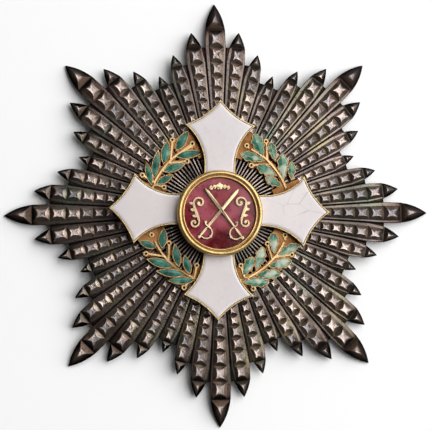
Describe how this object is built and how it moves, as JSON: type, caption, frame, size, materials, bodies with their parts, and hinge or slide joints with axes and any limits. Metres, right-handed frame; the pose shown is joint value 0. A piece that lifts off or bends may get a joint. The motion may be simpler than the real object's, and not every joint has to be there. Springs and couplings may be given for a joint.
{
  "type": "breast star",
  "caption": "Breast star of an order: studded silver rays, a laurel and oak wreath, a white enamel cross and a red medallion with crossed sabres; worn with a brooch pin.",
  "frame": {"origin": "middle of the star, on the surface that it lies on, below the middle of its bounding box", "axes": "+Z out of the front of the star, +Y towards 12 o'clock as it is worn, +X to the right seen from the front"},
  "size_m": [0.085, 0.085, 0.0091],
  "materials": {
    "silver": "struck silver with dark brown tarnish in every recess, bright on the flat tops of the studs",
    "wreath_gilt": "old copper-toned gilding, fine grained, darker in the recesses",
    "laurel_enamel": "green vitreous enamel, glossy, darker at the foot of each leaf",
    "oak_enamel": "paler green vitreous enamel, worn and whitish in patches",
    "gold": "polished gold, softly worn",
    "white_enamel": "white vitreous enamel, glossy, with a few hair scratches",
    "red_enamel": "translucent red vitreous enamel, uneven in depth",
    "back_silver": "plain silver, dull"
  },
  "bodies": {
    "root": {"star_body": "silver", "wreath_plate": "wreath_gilt", "laurel_leaf_1": "laurel_enamel", "laurel_leaf_2": "laurel_enamel", "laurel_leaf_3": "laurel_enamel", "laurel_leaf_4": "laurel_enamel", "laurel_leaf_5": "laurel_enamel", "laurel_leaf_6": "laurel_enamel", "laurel_leaf_7": "laurel_enamel", "laurel_leaf_8": "laurel_enamel", "laurel_leaf_9": "laurel_enamel", "laurel_leaf_10": "laurel_enamel", "laurel_leaf_11": "laurel_enamel", "laurel_leaf_12": "laurel_enamel", "laurel_leaf_13": "laurel_enamel", "laurel_leaf_14": "laurel_enamel", "oak_leaf_1": "oak_enamel", "oak_leaf_2": "oak_enamel", "oak_leaf_3": "oak_enamel", "oak_leaf_4": "oak_enamel", "oak_leaf_5": "oak_enamel", "oak_leaf_6": "oak_enamel", "oak_leaf_7": "oak_enamel", "oak_leaf_8": "oak_enamel", "oak_leaf_9": "oak_enamel", "oak_leaf_10": "oak_enamel", "oak_leaf_11": "oak_enamel", "oak_leaf_12": "oak_enamel", "oak_leaf_13": "oak_enamel", "oak_leaf_14": "oak_enamel", "cross_frame": "gold", "enamel_arm_top": "white_enamel", "enamel_arm_right": "white_enamel", "enamel_arm_bottom": "white_enamel", "enamel_arm_left": "white_enamel", "medallion_rim": "gold", "medallion_enamel": "red_enamel", "crossed_sabres": "gold", "flourish_left": "gold", "flourish_right": "gold", "garland": "gold", "centre_rivet": "back_silver", "brooch_pin": "back_silver"}
  },
  "joints": []
}
